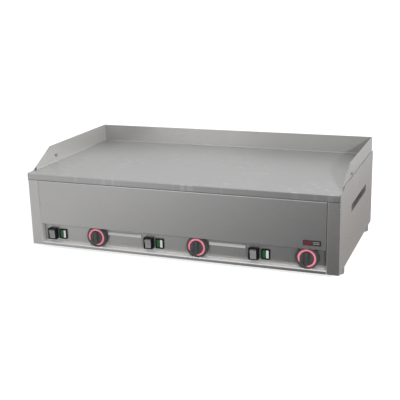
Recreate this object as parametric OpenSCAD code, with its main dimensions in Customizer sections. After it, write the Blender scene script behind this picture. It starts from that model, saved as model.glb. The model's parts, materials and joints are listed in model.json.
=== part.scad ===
/* [Body] */
// Overall width of the griddle
body_w = 990; // [940:1:1040]
// Overall depth over the side panels
body_d = 538; // [530:1:600]
// Height from the casing's lower edge to the cooking surface
shell_h = 232.5; // [225:0.5:260]
// Height of the rubber feet
foot_h = 25; // [15:1:40]
// Radius of a rubber foot
foot_r = 15; // [10:1:16]
// Sheet thickness of the casing
sheet_t = 1.5; // [1.2:0.1:2]
// Bend radius of the casing sheets, on the sheet's centre line
bend_r = 2.4; // [2:0.1:3]

/* [Cooking plate] */
// Thickness of the griddle plate
plate_t = 10; // [8:1:12]
// Height of the plate's front apron
band_h = 20; // [14:1:30]
// Height of the splash guard above the plate
splash_h = 58; // [40:1:90]
// Sheet thickness of the splash guard
splash_t = 2; // [1.5:0.5:3]
// Gap from the front face to the splash guard's front ends
splash_front = 48; // [40:1:80]
// Length of the sloping front end of the splash guard
splash_slope = 90; // [60:1:120]
// How far the side panels rise above the plate
side_rise = 11.5; // [8:0.5:14]

/* [Front] */
// Width of the front columns
column_w = 37; // [30:1:44]
// Height of the fascia's lower edge above the casing's lower edge
fascia_low = 69.3; // [66:0.1:76]
// Depth of the recess that holds the controls
recess_d = 20; // [18:0.5:24]
// Height of the lip below the controls
lip_h = 10; // [8:0.5:11]

/* [Controls] */
// Distance between one heating zone's controls and the next
control_pitch = 334; // [333:0.1:336]
// First knob's distance from the left side
knob_x = 228.1; // [226:0.1:229]
// Height of the knob axes above the casing's lower edge
knob_z = 40.4; // [40.2:0.1:40.6]
// Radius of the knob's skirt
skirt_r = 33.5; // [32:0.5:34]
// First switch's distance from the left side
switch_x = 68.9; // [68:0.1:70]
// First pilot light's distance from the left side
pilot_x = 103.8; // [103:0.1:105]
// Height of the switches and pilot lights
switch_z = 36; // [35:0.5:37]
// Travel of a rocker from off to on, in degrees
rocker_swing = 18; // [10:1:18]

/* [Drip drawers] */
// First drawer's left edge, from the left side
drawer_x = 264.2; // [264:0.1:266]
// Width of a drawer's front
drawer_w = 113; // [100:1:115]
// Depth of a drawer's tray
drawer_d = 300; // [200:10:380]

/* [Hidden] */
$fn = 48;

// Main planes. The origin is on the floor, under the middle of the casing.
half_w = body_w / 2;
screw_proud = 2.2;
grip_proud = 3;
front_y = -(body_d + screw_proud - grip_proud) / 2;
rear_y = front_y + body_d;
shell_z = foot_h;
plate_z = shell_z + shell_h;
under_z = plate_z - plate_t;
band_z = plate_z - band_h;
seam_gap = 1;
column_top = band_z - seam_gap;

// Cooking plate and splash guard
side_gap = 1;
tray_half = half_w - sheet_t - side_gap;
rear_overhang = 9;
plate_rear = rear_y - rear_overhang;
plate_edge_r = 3;
apron_t = 2;
weld_r = 2;
splash_step = 10.5;
bolt_y = front_y + 172;
bolt_z = plate_z + 22;
rise_start = 33;
rise_end = 56;

// Grip slots in the side panels
grip_y0 = 165;
grip_len = 247;
grip_z0 = 138;
grip_h = 23.5;
grip_depth = 22;
pocket_wall = 1.2;
grip_corner = 3;

// Recess
panel_y = front_y + recess_d;
panel_top = 95;
panel_half = half_w - column_w - 0.5;
hem_d = 2;
knob_notch_r = skirt_r + 1.5;

// Rear wall
rear_recess = 22;
flange_w = 18;
rear_t = 1.2;
screw_r = 2;
screw_in = 10.5;
screw_rows = [30, 115, 200];
rear_face = rear_y - sheet_t - rear_t / 2 - 0.2 - rear_recess;

// Base
base_z = shell_z + sheet_t + 0.75 + 0.1;
base_front = panel_y + 4;
base_rear = rear_face - 2;
base_half = half_w - sheet_t - 1;
foot_in = 17;
foot_rows = [front_y + 87, front_y + 500];

// Plate supports and heating
rail_w = 30;
rail_h = 10.4;
rail_front = front_y + 26;
rail_rear = front_y + 474;
rail_z = under_z - 0.2 - rail_h;
zone_pitch = 330;
element_r = 4;
run_gap = 44;
run_bend = run_gap / 2;
run_front = front_y + 128;
run_rear = front_y + 430;
run_end = front_y + 84;
element_z = under_z - element_r - 0.2;
cold_bend = 12;
cold_end_z = shell_z + 143;
clamp_rows = [front_y + 170, front_y + 275, front_y + 380];
clamp_t = 3;
clamp_z = element_z - element_r - 0.2 - clamp_t;
stud_x = run_gap;
stud_r = 3;
stud_len = 20;
nut_h = 5;
shield_z = shell_z + 178;
shield_front = front_y + 66;
shield_rear = front_y + 470;
shield_half = 480;
board_t = 20;
board_half = 148;
board_gap = 3.4;
bulb_z = under_z - 3.4;
bulb_r = 3;
capillary_r = 1.2;
riser_y = front_y + 78;
sensor_gap = 80;

// Controls, by heating zone 0, 1 and 2
function from_left(v) = v - half_w;
function zone_x(i) = (i - 1) * zone_pitch;
function dial_x(i) = from_left(knob_x + i * control_pitch);
function key_x(i) = from_left(switch_x + i * control_pitch);
function lamp_x(i) = from_left(pilot_x + i * control_pitch);
function tray_x(j) = from_left(drawer_x + drawer_w / 2 + j * control_pitch);
dial_z = shell_z + knob_z;
key_z = shell_z + switch_z;
shaft_r = 3;
running_gap = 0.05;
bush_r = 5;
knob_back = panel_y - 1;
skirt_front_r = 31.8;
skirt_h = 14;
shaft_grip = 9;
grip_w = 13;
grip_bar_len = 40;
grip_bar_h = recess_d - 1 - skirt_h + grip_proud;
ring_in = 21;
ring_out = 26.6;
ring_t = 0.8;
ring_span = 298;
ring_start = -90;
thermostat_w = 56;
thermostat_h = 40;
thermostat_d = 34;
thermostat_y = panel_y + sheet_t + 0.1;
limiter_w = 36;

// Rocker switches
frame_w = 30;
frame_h = 35;
frame_d = 13;
window_w = 19.5;
window_h = 30.6;
rocker_w = 18.9;
rocker_half = 13.4;
rocker_face = 8.6;
pivot_y = panel_y - 6.5;
pivot_r = 1.5;
switch_body_w = 22;
switch_body_h = 29;
switch_body_d = 26;

// Pilot lights
lamp_w = 25.5;
lamp_h = 31.5;
lamp_d = 4.5;
green_w = 10.4;
clear_w = 8.4;
lens_rib = 0.6;
lens_h = 24.5;
lens_d = 4.1;
lens_back = 3;

// Drip drawers
drawer_front_t = 1.2;
drawer_front_y = panel_y + 1.2;
drawer_seam = 0.5;
drawer_low = 14;
drawer_top = 57;
drawer_wall = 1.2;
tray_half_w = drawer_w / 2 - 3;
tray_low = 15.6;
tray_top = 44;
lip_drop = 9.4;
lip_reach = 5;
lip_t = 1.2;
lip_window_low = 47.5;
lip_window_top = 56;
guide_gap = 0.8;

// Supply
gland_x = 400;
gland_z = shell_z + 55;
gland_r = 10;
gland_bore = 6;
gland_dome = 19;
hex_r = 14;
bond_x = 446;
bond_z = shell_z + 40;
bond_r = 3;
bond_root_r = 2.4;
bond_nut_h = 5;

steel = [0.66, 0.65, 0.64];
steel_side = [0.68, 0.65, 0.64];
plate_grey = [0.74, 0.75, 0.74];
zinc = [0.62, 0.63, 0.65];
black = [0.09, 0.09, 0.09];

// ---- Helpers ----

// Moves a drawing in the Y-Z plane to x0 and extrudes it along +X
module along_x(x0, length) {
    translate([x0, 0, 0])
        rotate([90, 0, 90])
            linear_extrude(length)
                children();
}

// Moves a drawing in the X-Z plane to y0 and extrudes it along +Y
module along_y(y0, length) {
    translate([0, y0 + length, 0])
        rotate([90, 0, 0])
            linear_extrude(length)
                children();
}

// Box between two opposite corners
module block(low, high) {
    translate(low)
        cube(high - low);
}

// Cylinder whose axis runs along +Y from y0
module rod_y(x, y0, z, r, length) {
    translate([x, y0, z])
        rotate([-90, 0, 0])
            cylinder(r = r, h = length);
}

// Cylinder whose axis runs along +X from x0
module rod_x(x0, y, z, r, length) {
    translate([x0, y, z])
        rotate([0, 90, 0])
            cylinder(r = r, h = length);
}

// Rectangle with round corners, centred
module round_rect(w, h, r) {
    square([w - 2 * r, h], center = true);
    square([w, h - 2 * r], center = true);
    for (sx = [-1, 1], sy = [-1, 1])
        translate([sx * (w / 2 - r), sy * (h / 2 - r)])
            circle(r);
}

// Straight stretch of bent sheet from a to b, along X or Y of the drawing
module strip_run(a, b, t) {
    low = [min(a.x, b.x), min(a.y, b.y)];
    size = [abs(a.x - b.x), abs(a.y - b.y)];
    grow = size.x > size.y ? [0, t / 2] : [t / 2, 0];
    translate(low - grow)
        square(size + 2 * grow);
}

// Quarter bend at corner p between the directions d1 and d2
module strip_bend(p, d1, d2, t, r) {
    reach = r + t;
    side = d1 - d2;
    translate(p - r * side)
        intersection() {
            difference() {
                circle(r + t / 2);
                circle(r - t / 2);
            }
            translate([side.x < 0 ? -reach : 0, side.y < 0 ? -reach : 0])
                square(reach);
        }
}

// Section of a folded sheet: a centre line of runs along X and Y with round bends
module bent_strip(path, t = sheet_t, r = bend_r) {
    last = len(path) - 1;
    dirs = [for (i = [0 : last - 1]) (path[i + 1] - path[i]) / norm(path[i + 1] - path[i])];
    for (i = [0 : last - 1])
        strip_run(path[i] + (i > 0 ? r : 0) * dirs[i], path[i + 1] - (i < last - 1 ? r : 0) * dirs[i], t);
    for (i = [1 : last - 1])
        strip_bend(path[i], dirs[i - 1], dirs[i], t, r);
}

// Round rod or tube bent in the Y-Z plane at x, through the points of a path
module bent_rod(x, path, rod_r, r) {
    last = len(path) - 1;
    dirs = [for (i = [0 : last - 1]) (path[i + 1] - path[i]) / norm(path[i + 1] - path[i])];
    for (i = [0 : last - 1]) {
        a = path[i] + (i > 0 ? r : 0) * dirs[i];
        b = path[i + 1] - (i < last - 1 ? r : 0) * dirs[i];
        translate([x, a.x, a.y])
            rotate(dirs[i].y == 0 ? [-90 * dirs[i].x, 0, 0] : [dirs[i].y > 0 ? 0 : 180, 0, 0])
                cylinder(r = rod_r, h = norm(b - a));
    }
    for (i = [1 : last - 1]) {
        side = dirs[i - 1] - dirs[i];
        c = path[i] - r * side;
        start = side.x > 0 ? (side.y > 0 ? 0 : 270) : (side.y > 0 ? 90 : 180);
        translate([x, c.x, c.y])
            rotate([90, 0, 90])
                rotate([0, 0, start])
                    rotate_extrude(angle = 90)
                        translate([r, 0])
                            circle(rod_r);
    }
}

// Hexagon nut with a round bore, standing on z = 0
module nut(flat_r, bore_r, h) {
    difference() {
        cylinder(r = flat_r, h = h, $fn = 6);
        translate([0, 0, -1])
            cylinder(r = bore_r, h = h + 2);
    }
}

// ---- Cooking plate ----

module griddle_plate() {
    color(plate_grey)
        along_x(-tray_half, 2 * tray_half) {
            translate([front_y + plate_edge_r, under_z])
                square([plate_rear - front_y - plate_edge_r, plate_t]);
            translate([front_y, under_z])
                square([plate_edge_r, plate_t - plate_edge_r]);
            translate([front_y, band_z])
                square([apron_t, plate_t]);
            translate([front_y + plate_edge_r, plate_z - plate_edge_r])
                circle(plate_edge_r);
        }
}

// Weld fillet in a right-angled corner, as a drawing
module fillet(r) {
    difference() {
        square(r);
        translate([r, r])
            circle(r);
    }
}

// Outline of a side wall of the splash guard, in the Y-Z plane
module splash_side() {
    y0 = front_y + splash_front;
    polygon([
        [y0, plate_z], [y0, plate_z + splash_step],
        [y0 + splash_slope, plate_z + splash_h], [plate_rear, plate_z + splash_h], [plate_rear, plate_z]
    ]);
}

module splash_guard() {
    inner = tray_half - splash_t;
    color(steel) {
        for (s = [0, 1])
            mirror([s, 0, 0]) {
                difference() {
                    along_x(-tray_half, splash_t)
                        splash_side();
                    rod_x(-tray_half - 1, bolt_y, bolt_z, 3.2, splash_t + 2);
                }
                along_y(front_y + splash_front, plate_rear - splash_t - front_y - splash_front)
                    translate([-inner, plate_z])
                        fillet(weld_r);
                translate([-inner, plate_rear - splash_t, plate_z])
                    linear_extrude(splash_h)
                        mirror([0, 1, 0])
                            fillet(weld_r);
            }
        along_x(-tray_half, 2 * tray_half)
            translate([plate_rear - splash_t, plate_z])
                square([splash_t, splash_h]);
        along_x(-inner, 2 * inner)
            translate([plate_rear - splash_t, plate_z])
                mirror([1, 0, 0])
                    fillet(weld_r);
    }
}

module splash_bolts() {
    head_r = 5.5;
    head_h = 2.4;
    inner = tray_half - splash_t;
    color(zinc)
        for (s = [0, 1])
            mirror([s, 0, 0]) {
                rod_x(-tray_half - head_h, bolt_y, bolt_z, head_r, head_h);
                rod_x(-tray_half - 1, bolt_y, bolt_z, 3, splash_t + 5);
                rod_x(-inner, bolt_y, bolt_z, head_r + 1, 0.8);
                translate([-inner, bolt_y, bolt_z])
                    rotate([0, 90, 0])
                        cylinder(r = head_r, h = 3.2, $fn = 6);
            }
}

// ---- Casing ----

// Left side panel with its front column, rear flange and grip slot
module side_panel() {
    far = -half_w + sheet_t / 2;
    fold = -half_w + column_w - sheet_t / 2;
    difference() {
        union() {
            translate([0, 0, shell_z])
                linear_extrude(column_top - shell_z)
                    bent_strip([
                        [fold, panel_y - 0.5], [fold, front_y + sheet_t / 2],
                        [far, front_y + sheet_t / 2], [far, rear_y - sheet_t / 2],
                        [-half_w + flange_w, rear_y - sheet_t / 2]
                    ]);
            along_x(-half_w, sheet_t)
                polygon([
                    [front_y, column_top], [front_y, plate_z],
                    [front_y + rise_start, plate_z], [front_y + rise_end, plate_z + side_rise],
                    [rear_y, plate_z + side_rise], [rear_y, column_top]
                ]);
            block(
                [-half_w + sheet_t / 2, panel_y + 4, shell_z],
                [-half_w + 24, rear_y - 26, shell_z + sheet_t]
            );
        }
        along_x(-half_w - 1, sheet_t + 2)
            translate([front_y + grip_y0 + grip_len / 2, shell_z + grip_z0 + grip_h / 2])
                round_rect(grip_len, grip_h, grip_corner);
        for (y = foot_rows)
            translate([-half_w + foot_in, y, shell_z - 1])
                cylinder(r = 4.2, h = 4);
        for (z = screw_rows)
            rod_y(-half_w + screw_in, rear_y - 3, shell_z + z, screw_r + 0.2, 5);
    }
}

module side_panel_left() {
    color(steel_side)
        side_panel();
}

module side_panel_right() {
    color(steel_side)
        mirror([1, 0, 0])
            side_panel();
}

// Closed pocket welded behind a grip slot
module grip_pocket() {
    x0 = -half_w + sheet_t;
    cy = front_y + grip_y0 + grip_len / 2;
    cz = shell_z + grip_z0 + grip_h / 2;
    difference() {
        along_x(x0, grip_depth + pocket_wall)
            translate([cy, cz])
                round_rect(grip_len + 2 * pocket_wall, grip_h + 2 * pocket_wall, grip_corner + pocket_wall);
        along_x(x0 - 1, grip_depth + 1)
            translate([cy, cz])
                round_rect(grip_len, grip_h, grip_corner);
    }
}

module grip_pocket_left() {
    color(zinc)
        grip_pocket();
}

module grip_pocket_right() {
    color(zinc)
        mirror([1, 0, 0])
            grip_pocket();
}

module front_fascia() {
    low = shell_z + fascia_low + sheet_t / 2;
    high = column_top - sheet_t / 2;
    face = front_y + sheet_t / 2;
    side = half_w - column_w - 1;
    return_d = 14;
    color(steel) {
        along_x(-side, 2 * side)
            bent_strip([[front_y + hem_d + 1, low], [face, low], [face, high], [front_y + 20, high]]);
        for (s = [0, 1])
            mirror([s, 0, 0])
                block(
                    [-side, face, shell_z + panel_top + 4],
                    [-side + sheet_t, front_y + return_d, high - 4]
                );
    }
}

// Openings in the control panel for one heating zone
module zone_cutouts(i) {
    cut_y = panel_y - 1;
    cut_d = sheet_t + 2;
    rod_y(dial_x(i), cut_y, dial_z, bush_r + 0.5, cut_d);
    for (s = [-1, 1])
        rod_y(dial_x(i) + s * 14, cut_y, dial_z, 2.2, cut_d);
    block(
        [key_x(i) - switch_body_w / 2 - 0.3, cut_y, key_z - switch_body_h / 2 - 0.3],
        [key_x(i) + switch_body_w / 2 + 0.3, cut_y + cut_d, key_z + switch_body_h / 2 + 0.3]
    );
    block(
        [lamp_x(i) - lamp_w / 2 + 1.2, cut_y, key_z - lamp_h / 2 + 1.2],
        [lamp_x(i) + lamp_w / 2 - 1.2, cut_y + cut_d, key_z + lamp_h / 2 - 1.2]
    );
}

module control_panel() {
    face = front_y + sheet_t / 2;
    wall = panel_y + sheet_t / 2;
    lip = shell_z + lip_h - sheet_t / 2;
    color(steel)
        difference() {
            along_x(-panel_half, 2 * panel_half)
                bent_strip([
                    [face, shell_z], [face, lip], [wall, lip],
                    [wall, shell_z + panel_top], [front_y + sheet_t + 0.6, shell_z + panel_top]
                ]);
            for (i = [0 : 2]) {
                zone_cutouts(i);
                rod_y(dial_x(i), front_y + 3.5, dial_z, knob_notch_r, recess_d - 3.9);
            }
            for (j = [0, 1])
                block(
                    [tray_x(j) - drawer_w / 2 - drawer_seam, panel_y - 1, shell_z + drawer_low - drawer_seam],
                    [
                        tray_x(j) + drawer_w / 2 + drawer_seam,
                        panel_y + sheet_t + 1,
                        shell_z + drawer_top + 1.2 + drawer_seam
                    ]
                );
        }
}

module rear_panel() {
    tab = rear_y - sheet_t - 0.2 - rear_t / 2;
    edge = half_w - flange_w - 0.5;
    slot_w = 90;
    slot_h = 6;
    color(steel)
        difference() {
            translate([0, 0, shell_z + 2])
                linear_extrude(under_z - 1 - shell_z - 2)
                    bent_strip([
                        [-half_w + 3, tab], [-edge, tab], [-edge, rear_face],
                        [edge, rear_face], [edge, tab], [half_w - 3, tab]
                    ], rear_t, 2);
            for (ix = [-3 : 3], iz = [0, 1])
                along_y(rear_face - 2, 4)
                    translate([ix * 120, shell_z + 120 + iz * 45])
                        round_rect(slot_w, slot_h, slot_h / 2 - 0.1);
            for (s = [-1, 1], z = screw_rows)
                rod_y(s * (half_w - screw_in), rear_y - 5, shell_z + z, screw_r + 0.2, 5);
            rod_y(gland_x, rear_face - 2, gland_z, gland_r + 0.2, 4);
            rod_y(bond_x, rear_face - 2, bond_z, bond_root_r + 0.2, 4);
        }
}

module base_pan() {
    front_up = base_z + 9;
    rear_up = base_z + 22;
    color(zinc)
        difference() {
            along_x(-base_half, 2 * base_half)
                bent_strip([
                    [base_front, front_up], [base_front, base_z], [base_rear, base_z], [base_rear, rear_up]
                ]);
            for (x = [-1, 1], y = foot_rows)
                translate([x * (half_w - foot_in), y, base_z - 2])
                    cylinder(r = 4.2, h = 4);
            for (ix = [-2 : 2], iy = [0 : 2])
                translate([zone_x(1) + ix * 165, front_y + 400 + iy * 24, base_z - 2])
                    linear_extrude(4)
                        round_rect(100, 7, 3.4);
        }
}

module plate_rails() {
    half = half_w - sheet_t - 0.3;
    wall = 1.5;
    color(zinc)
        for (y = [rail_front, rail_rear])
            difference() {
                block([-half, y, rail_z], [half, y + rail_w, rail_z + rail_h]);
                block(
                    [-half - 1, y + wall, rail_z + wall],
                    [half + 1, y + rail_w - wall, rail_z + rail_h - wall]
                );
            }
}

module rubber_feet() {
    color(black)
        for (x = [-1, 1], y = foot_rows)
            translate([x * (half_w - foot_in), y, 0])
                difference() {
                    union() {
                        cylinder(r1 = foot_r - 1, r2 = foot_r, h = 2);
                        translate([0, 0, 2])
                            cylinder(r = foot_r, h = foot_h - 2);
                    }
                    translate([0, 0, 10])
                        cylinder(r = 4.05, h = foot_h);
                }
}

module foot_bolts() {
    stack = base_z + sheet_t / 2;
    color(zinc)
        for (x = [-1, 1], y = foot_rows)
            translate([x * (half_w - foot_in), y, 0]) {
                translate([0, 0, 10])
                    cylinder(r = 4, h = stack);
                translate([0, 0, stack])
                    cylinder(r = 7, h = 6, $fn = 6);
            }
}

// Screws that hold the rear panel to the side panels' rear flanges
module body_screws() {
    head_r = 4;
    color(zinc) {
        for (s = [-1, 1], z = screw_rows) {
            rod_y(s * (half_w - screw_in), rear_y, shell_z + z, head_r, screw_proud);
            rod_y(s * (half_w - screw_in), rear_y - 9, shell_z + z, screw_r, 10);
        }
        for (i = [0 : 2], s = [-1, 1]) {
            rod_y(dial_x(i) + s * 14, panel_y - 1.6, dial_z, 3.4, 1.6);
            rod_y(dial_x(i) + s * 14, panel_y - 1, dial_z, screw_r, 7);
        }
    }
}

module badge() {
    badge_w = 52;
    badge_h = 15.5;
    badge_t = 0.8;
    color("black")
        along_y(front_y - badge_t, badge_t)
            translate([from_left(911.5), shell_z + 89.5])
                round_rect(badge_w, badge_h, 2.5);
}

// ---- Heating ----

// Tubular element of one zone: six runs, rear and front return bends and two cold ends
module heating_element(i) {
    x0 = zone_x(i) - 2.5 * run_gap;
    color([0.35, 0.33, 0.31]) {
        for (k = [1 : 4])
            rod_y(x0 + k * run_gap, run_front, element_z, element_r, run_rear - run_front);
        for (k = [0, 2, 4])
            translate([x0 + (k + 0.5) * run_gap, run_rear, element_z])
                rotate_extrude(angle = 180)
                    translate([run_bend, 0])
                        circle(element_r);
        for (k = [1, 3])
            translate([x0 + (k + 0.5) * run_gap, run_front, element_z])
                rotate([0, 0, 180])
                    rotate_extrude(angle = 180)
                        translate([run_bend, 0])
                            circle(element_r);
        for (k = [0, 5])
            bent_rod(
                x0 + k * run_gap,
                [[run_rear, element_z], [run_end, element_z], [run_end, cold_end_z]],
                element_r, cold_bend
            );
        for (k = [0, 5])
            translate([x0 + k * run_gap, run_end, cold_end_z - 12])
                cylinder(r = 1.5, h = 12);
    }
}

module heating_element_1() {
    heating_element(0);
}

module heating_element_2() {
    heating_element(1);
}

module heating_element_3() {
    heating_element(2);
}

module element_clamps() {
    half = 140;
    depth = 14;
    color(zinc)
        for (i = [0 : 2], y = clamp_rows)
            difference() {
                block(
                    [zone_x(i) - half, y - depth / 2, clamp_z],
                    [zone_x(i) + half, y + depth / 2, clamp_z + clamp_t]
                );
                for (s = [-1, 1])
                    translate([zone_x(i) + s * stud_x, y, clamp_z - 1])
                        cylinder(r = stud_r + 0.4, h = clamp_t + 2);
            }
}

module clamp_studs() {
    color(zinc)
        for (i = [0 : 2], y = clamp_rows, s = [-1, 1])
            translate([zone_x(i) + s * stud_x, y, under_z - stud_len])
                cylinder(r = stud_r, h = stud_len);
}

module clamp_nuts() {
    color(zinc)
        for (i = [0 : 2], y = clamp_rows, s = [-1, 1])
            translate([zone_x(i) + s * stud_x, y, clamp_z - nut_h])
                nut(5.8, stud_r + running_gap, nut_h);
}

// Holes for a zone's cold ends and sensor tubes, standing on z = 0
module zone_risers(i, h) {
    for (k = [-2.5, 2.5])
        translate([zone_x(i) + k * run_gap, run_end, 0])
            cylinder(r = element_r + 2.5, h = h);
    for (k = [0, 1])
        translate([zone_x(i) + k * sensor_gap, riser_y, 0])
            cylinder(r = 4, h = h);
}

module insulation_boards() {
    color([0.86, 0.84, 0.78])
        for (i = [0 : 2])
            difference() {
                block(
                    [zone_x(i) - board_half, shield_front + board_gap, shield_z + sheet_t],
                    [zone_x(i) + board_half, shield_rear - board_gap, shield_z + sheet_t + board_t]
                );
                translate([0, 0, shield_z])
                    zone_risers(i, board_t + 4);
            }
}

module heat_shield() {
    flange = rail_z - 0.2 - sheet_t / 2;
    floor_mid = shield_z + sheet_t / 2;
    color(zinc)
        difference() {
            union() {
                along_x(-shield_half, 2 * shield_half)
                    bent_strip([
                        [rail_front + 2, flange], [shield_front, flange], [shield_front, floor_mid],
                        [shield_rear, floor_mid], [shield_rear, flange], [rail_rear + rail_w - 2, flange]
                    ]);
                for (s = [-1, 1])
                    block(
                        [s * (shield_half - 0.75) - 0.75, shield_front, shield_z + 0.2],
                        [s * (shield_half - 0.75) + 0.75, shield_rear, flange]
                    );
            }
            translate([0, 0, shield_z - 1])
                for (i = [0 : 2])
                    zone_risers(i, sheet_t + 2);
        }
}

// ---- Thermostats and limiters ----

// Sensor bulb under the plate and its capillary down to the body
module sensor(x, start_y, start_z) {
    bulb_y = front_y + 200;
    bent_rod(
        x,
        [[start_y, start_z], [riser_y, start_z], [riser_y, bulb_z], [bulb_y, bulb_z]],
        capillary_r, 8
    );
    rod_y(x, bulb_y, bulb_z, bulb_r, 110);
}

module thermostat(i) {
    x = dial_x(i);
    y = thermostat_y;
    color([0.80, 0.78, 0.72])
        difference() {
            union() {
                block(
                    [x - thermostat_w / 2, y, dial_z - thermostat_h / 2],
                    [x + thermostat_w / 2, y + thermostat_d, dial_z + thermostat_h / 2]
                );
                rod_y(x, panel_y - 1, dial_z, bush_r, y - panel_y + 2);
                for (s = [-1, 1], t = [-1, 1])
                    rod_y(x + s * 16, y + thermostat_d - 1, dial_z - 4 + t * 8, 3, 7);
                sensor(zone_x(i) + sensor_gap, y + thermostat_d - 1, dial_z + 12);
            }
            rod_y(x, panel_y - 2, dial_z, shaft_r + running_gap, 26);
            for (s = [-1, 1])
                rod_y(x + s * 14, y - 1, dial_z, 2 + running_gap, 7);
        }
}

module thermostat_1() {
    thermostat(0);
}

module thermostat_2() {
    thermostat(1);
}

module thermostat_3() {
    thermostat(2);
}

// Shaft turned by the knob; it runs in the thermostat's bush
module thermostat_shaft(i) {
    color(zinc)
        rod_y(dial_x(i), knob_back - shaft_grip, dial_z, shaft_r, shaft_grip + 22);
}

module thermostat_shaft_1() {
    thermostat_shaft(0);
}

module thermostat_shaft_2() {
    thermostat_shaft(1);
}

module thermostat_shaft_3() {
    thermostat_shaft(2);
}

module safety_limiter(i) {
    x = zone_x(i);
    y = panel_y + sheet_t + 5;
    color([0.72, 0.72, 0.70]) {
        block([x - limiter_w / 2, y, shell_z + 24], [x + limiter_w / 2, y + 24, shell_z + 60]);
        block([x - 5, panel_y + sheet_t + 0.1, shell_z + 56], [x + 5, y + 1, shell_z + 60]);
        block([x - 5, panel_y + sheet_t + 0.1, shell_z + 60], [x + 5, panel_y + sheet_t + 1.3, shell_z + 74]);
        for (s = [-1, 1])
            rod_y(x + s * 10, y + 23, shell_z + 32, 3, 7);
        sensor(x, y + 23, shell_z + 52);
    }
}

module safety_limiter_1() {
    safety_limiter(0);
}

module safety_limiter_2() {
    safety_limiter(1);
}

module safety_limiter_3() {
    safety_limiter(2);
}

// ---- Knobs ----

// Knob standing on z = 0 with its front towards +Z and its top towards +Y
module knob_shape() {
    dish_r = 20.2;
    dish_d = 1.2;
    difference() {
        rotate_extrude()
            polygon([
                [0, 0], [skirt_r, 0], [skirt_r, skirt_h - 4.5], [skirt_front_r, skirt_h - 1.8],
                [skirt_front_r, skirt_h - 0.6], [skirt_front_r - 0.6, skirt_h], [0, skirt_h]
            ]);
        translate([0, 0, skirt_h - dish_d])
            cylinder(r = dish_r, h = dish_d + 1);
        translate([0, 0, -1])
            cylinder(r = shaft_r, h = shaft_grip + 1);
        translate([0, 0, -1])
            difference() {
                cylinder(r = skirt_r - 2.5, h = skirt_h - 2);
                translate([0, 0, -1])
                    cylinder(r = 8, h = skirt_h);
            }
    }
    translate([0, 0, skirt_h - dish_d])
        linear_extrude(grip_bar_h + dish_d)
            round_rect(grip_w, grip_bar_len, grip_w / 2 - 0.1);
}

// Turns a shape drawn with its front towards +Z so that the front faces -Y
module facing_front(x, y, z) {
    translate([x, y, z])
        rotate([90, 0, 0])
            children();
}

module knob(i) {
    color(black)
        facing_front(dial_x(i), knob_back, dial_z)
            difference() {
                knob_shape();
                ring_shape(0.05, 1);
            }
}

// Coloured ring with its gap at the lower left, in the knob's own frame
module ring_shape(grow, proud) {
    turn = grow > 0 ? 0.2 : 0;
    translate([0, 0, skirt_h - ring_t])
        rotate([0, 0, ring_start - turn])
            rotate_extrude(angle = ring_span + 2 * turn)
                translate([ring_in - grow, 0])
                    square([ring_out - ring_in + 2 * grow, ring_t + proud]);
}

module knob_ring(i) {
    color([0.86, 0.35, 0.42])
        facing_front(dial_x(i), knob_back, dial_z)
            ring_shape(0, 0.3);
}

module knob_1() {
    knob(0);
}

module knob_2() {
    knob(1);
}

module knob_3() {
    knob(2);
}

module knob_ring_1() {
    knob_ring(0);
}

module knob_ring_2() {
    knob_ring(1);
}

module knob_ring_3() {
    knob_ring(2);
}

// ---- Switches and pilot lights ----

module switch_housing(i) {
    x = key_x(i);
    y = panel_y - frame_d;
    color(black)
        difference() {
            union() {
                along_y(y, frame_d)
                    translate([x, key_z])
                        round_rect(frame_w, frame_h, 2);
                block(
                    [x - switch_body_w / 2, panel_y - 1, key_z - switch_body_h / 2],
                    [x + switch_body_w / 2, panel_y + switch_body_d, key_z + switch_body_h / 2]
                );
                for (s = [-1, 1], t = [-1, 1])
                    block(
                        [x + s * 5 - 0.5, panel_y + switch_body_d - 1, key_z + t * 7 - 3],
                        [x + s * 5 + 0.5, panel_y + switch_body_d + 9, key_z + t * 7 + 3]
                    );
            }
            block(
                [x - window_w / 2, y - 1, key_z - window_h / 2],
                [x + window_w / 2, panel_y - 0.5, key_z + window_h / 2]
            );
            rod_x(x - window_w / 2 - 2, pivot_y, key_z, pivot_r + running_gap, window_w + 4);
        }
}

module switch_housing_1() {
    switch_housing(0);
}

module switch_housing_2() {
    switch_housing(1);
}

module switch_housing_3() {
    switch_housing(2);
}

// Rocker at rest with its lower half pushed in; it tips about its two side pins
module switch_rocker(i) {
    x = key_x(i);
    dish = 1.4;
    foot = 4.2;
    color([0.45, 0.45, 0.44])
        translate([x - rocker_w / 2, pivot_y, key_z])
            rotate([rocker_swing / 2, 0, 0])
                union() {
                    rotate([90, 0, 90])
                        linear_extrude(rocker_w) {
                            polygon([
                                [-rocker_face, -rocker_half], [-rocker_face + dish, 0],
                                [-rocker_face, rocker_half], [foot - 3, rocker_half],
                                [foot, 3], [foot, -3], [foot - 3, -rocker_half]
                            ]);
                        }
                    translate([-1.5, 0, 0])
                        rotate([0, 90, 0])
                            cylinder(r = pivot_r, h = rocker_w + 3);
                }
}

module switch_rocker_1() {
    switch_rocker(0);
}

module switch_rocker_2() {
    switch_rocker(1);
}

module switch_rocker_3() {
    switch_rocker(2);
}

// Left and right side of the two lens pockets of a pilot light centred at x
function lens_start(x) = x - (green_w + lens_rib + clear_w) / 2;
function green_span(x) = [lens_start(x), lens_start(x) + green_w];
function clear_span(x) = [green_span(x)[1] + lens_rib, green_span(x)[1] + lens_rib + clear_w];

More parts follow.
